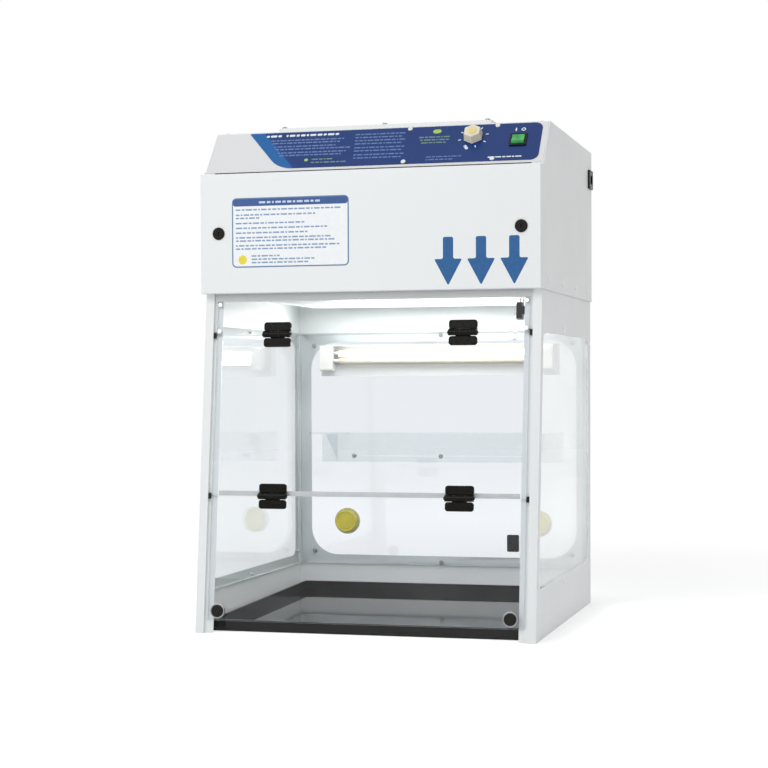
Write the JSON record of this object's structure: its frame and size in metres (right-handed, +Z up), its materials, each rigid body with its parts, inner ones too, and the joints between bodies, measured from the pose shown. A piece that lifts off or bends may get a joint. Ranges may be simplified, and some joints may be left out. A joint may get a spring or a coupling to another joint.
{
  "type": "laminar flow hood",
  "caption": "Bench-top laminar flow cabinet with a folding clear sash, windowed side and back walls, spill tray, lamp, filter and fan head, and a sloped control panel.",
  "frame": {"origin": "on the bench, at the middle of the cabinet's footprint", "axes": "+X to the user's right, +Y to the back, +Z up"},
  "size_m": [0.6158, 0.6157, 0.9025],
  "materials": {
    "white_case": "satin powder coat",
    "clear_sheet": "clear polished sheet",
    "tray_black": "polished black",
    "dark_plastic": "black moulded",
    "white_plastic": "white moulded",
    "cream_plastic": "cream moulded",
    "green_plastic": "green lit moulding",
    "yellow_rubber": "soft matt",
    "overlay_blue": "printed film",
    "bright_steel": "bright",
    "black_steel": "black",
    "bare_aluminium": "mill finish",
    "tube_glass": "frosted",
    "filter_paper": "pleated",
    "grey_foam": "open foam",
    "wire_plastic": "insulated"
  },
  "bodies": {
    "cabinet": {"left_side_panel": "white_case", "right_side_panel": "white_case", "back_panel": "white_case", "rear_rail": "white_case", "header_rail": "white_case", "diffuser_grille": "white_case", "plenum_shelf": "white_case", "fan_deck": "white_case", "head_case": "white_case", "top_cover": "white_case", "control_panel": "white_case", "prefilter_frame": "white_case", "lamp_housing": "white_case", "left_glazing": "clear_sheet", "right_glazing": "clear_sheet", "back_glazing": "clear_sheet", "sash_top_strip": "clear_sheet", "equipment_shelf": "clear_sheet", "spill_tray": "tray_black", "outlet_socket": "dark_plastic", "edge_bumpers": "dark_plastic", "safety_switch": "dark_plastic", "switch_frame": "dark_plastic", "power_inlet": "dark_plastic", "speed_control": "dark_plastic", "upper_hinge_leaves_and_pins": "dark_plastic", "lamp_holders": "white_plastic", "overlay_screws": "white_plastic", "control_overlay": "overlay_blue", "case_rivets": "bright_steel", "case_screws": "bright_steel", "prefilter_screws": "bright_steel", "motor_bracket": "bright_steel", "filter_clamps": "bright_steel", "fan_motor": "black_steel", "filter_frame": "bare_aluminium", "lamp_ballast": "bare_aluminium", "white_tube": "tube_glass", "uv_tube": "tube_glass", "filter_pleats": "filter_paper", "filter_gasket": "grey_foam", "prefilter_pad": "grey_foam", "safety_switch_wires": "wire_plastic"},
    "filter_door": {"filter_door": "white_case", "lock_barrels_and_nuts": "black_steel"},
    "left_lock": {"left_lock_cam": "black_steel"},
    "right_lock": {"right_lock_cam": "black_steel"},
    "speed_knob": {"speed_knob": "cream_plastic"},
    "power_rocker": {"power_rocker": "green_plastic"},
    "sash_middle": {"sash_middle_pane": "clear_sheet", "sash_joint_seal": "white_plastic", "upper_hinge_swing_leaves": "dark_plastic", "lower_hinge_leaves_and_pins": "dark_plastic"},
    "sash_lower": {"sash_lower_pane": "clear_sheet", "lower_hinge_swing_leaves": "dark_plastic", "sash_knobs": "dark_plastic"},
    "safety_lever": {"safety_switch_lever": "bright_steel"},
    "impeller": {"fan_impeller": "bare_aluminium"},
    "left_port_plug": {"left_port_plug": "yellow_rubber"},
    "right_port_plug": {"right_port_plug": "yellow_rubber"}
  },
  "joints": [
    {"name": "door_pull", "type": "slide", "parent": "cabinet", "child": "filter_door", "axis": [0, -1, 0], "range_m": [0, 0.08]},
    {"name": "left_lock_turn", "type": "hinge", "parent": "filter_door", "child": "left_lock", "pos_m": [-0.271, -0.257, 0.7015], "axis": [0, -1, 0], "range_deg": [0, 90]},
    {"name": "right_lock_turn", "type": "hinge", "parent": "filter_door", "child": "right_lock", "pos_m": [0.271, -0.257, 0.7015], "axis": [0, 1, 0], "range_deg": [0, 90]},
    {"name": "speed_turn", "type": "hinge", "parent": "cabinet", "child": "speed_knob", "pos_m": [0.174, -0.18781, 0.86276], "axis": [0, 0.769, -0.6392], "range_deg": [0, 270]},
    {"name": "rocker_tilt", "type": "hinge", "parent": "cabinet", "child": "power_rocker", "pos_m": [0.2545, -0.19539, 0.8541], "axis": [1, 0, 0], "range_deg": [0, 18]},
    {"name": "upper_sash_fold", "type": "hinge", "parent": "cabinet", "child": "sash_middle", "pos_m": [0, -0.2474, 0.52346], "axis": [-1, 0, 0], "range_deg": [0, 90]},
    {"name": "lower_sash_fold", "type": "hinge", "parent": "sash_middle", "child": "sash_lower", "pos_m": [0, -0.27969, 0.24046], "axis": [-1, 0, 0], "range_deg": [0, 170]},
    {"name": "safety_lever_swing", "type": "hinge", "parent": "cabinet", "child": "safety_lever", "pos_m": [0.255, -0.22587, 0.55136], "axis": [-1, 0, 0], "range_deg": [0, 2.5]},
    {"name": "fan_spin", "type": "hinge", "parent": "cabinet", "child": "impeller", "pos_m": [0, 0.01, 0.75], "axis": [0, 0, 1], "continuous": true},
    {"name": "left_plug_pull", "type": "slide", "parent": "cabinet", "child": "left_port_plug", "axis": [0, 1, 0], "range_m": [0, 0.04]},
    {"name": "right_plug_pull", "type": "slide", "parent": "cabinet", "child": "right_port_plug", "axis": [0, 1, 0], "range_m": [0, 0.04]}
  ],
  "couplings": [
    {"joint": "safety_lever_swing", "follows": "upper_sash_fold", "ratio": 0.027778}
  ]
}
